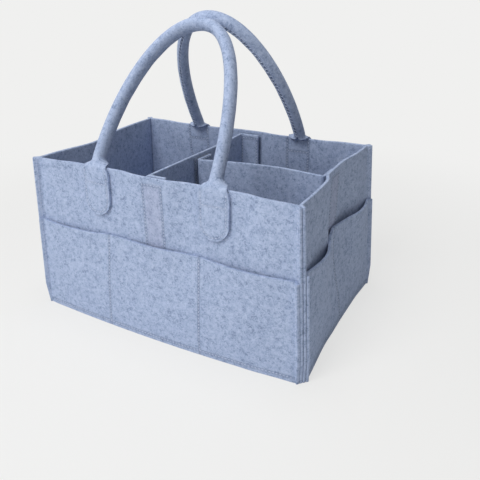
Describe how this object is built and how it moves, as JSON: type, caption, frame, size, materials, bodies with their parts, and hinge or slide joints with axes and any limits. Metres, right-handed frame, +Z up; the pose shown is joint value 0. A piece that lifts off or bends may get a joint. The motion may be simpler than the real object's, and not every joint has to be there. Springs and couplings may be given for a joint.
{
  "type": "diaper caddy",
  "caption": "Open-top felt caddy with sewn outer pockets, rolled carrying handles that swing aside, and lift-out dividers held by hook-and-loop tape.",
  "frame": {"origin": "on the ground, under the middle of the base", "axes": "+Z up, +X to the right along the long side, the front long side faces -Y"},
  "size_m": [0.3344, 0.23, 0.3156],
  "materials": {
    "felt_outside": "heathered needle-punched felt, matt and slightly fuzzy",
    "felt_inside": "heathered needle-punched felt, matt and slightly fuzzy",
    "loop_tape": "brushed loop pile",
    "hook_tape": "woven nylon tape with rows of small hooks",
    "filler_cord": "twisted cotton cord"
  },
  "bodies": {
    "body": {"base_panel": "felt_inside", "front_wall": "felt_outside", "back_wall": "felt_outside", "left_wall": "felt_outside", "right_wall": "felt_outside", "front_pocket": "felt_outside", "back_pocket": "felt_outside", "left_pocket": "felt_outside", "right_pocket": "felt_outside", "front_left_tab": "felt_outside", "front_right_tab": "felt_outside", "back_left_tab": "felt_outside", "back_right_tab": "felt_outside", "front_wall_loop_tape": "loop_tape", "back_wall_loop_tape": "loop_tape", "right_wall_loop_tape": "loop_tape"},
    "front_handle": {"front_handle_sleeve": "felt_outside", "front_handle_core": "filler_cord"},
    "back_handle": {"back_handle_sleeve": "felt_outside", "back_handle_core": "filler_cord"},
    "main_divider": {"main_divider": "felt_inside", "main_divider_front_hook_tape": "hook_tape", "main_divider_back_hook_tape": "hook_tape", "main_divider_loop_tape": "loop_tape"},
    "cross_divider": {"cross_divider": "felt_inside", "cross_divider_left_hook_tape": "hook_tape", "cross_divider_right_hook_tape": "hook_tape"}
  },
  "joints": [
    {"name": "front_handle_swing", "type": "hinge", "parent": "body", "child": "front_handle", "pos_m": [0, -0.099, 0.1763], "axis": [1, 0, 0], "range_deg": [0, 175]},
    {"name": "back_handle_swing", "type": "hinge", "parent": "body", "child": "back_handle", "pos_m": [0, 0.099, 0.1763], "axis": [-1, 0, 0], "range_deg": [0, 175]},
    {"name": "main_divider_lift", "type": "slide", "parent": "body", "child": "main_divider", "axis": [0, 0, 1], "range_m": [0, 0.115]},
    {"name": "cross_divider_lift", "type": "slide", "parent": "body", "child": "cross_divider", "axis": [0, 0, 1], "range_m": [0, 0.115]}
  ]
}
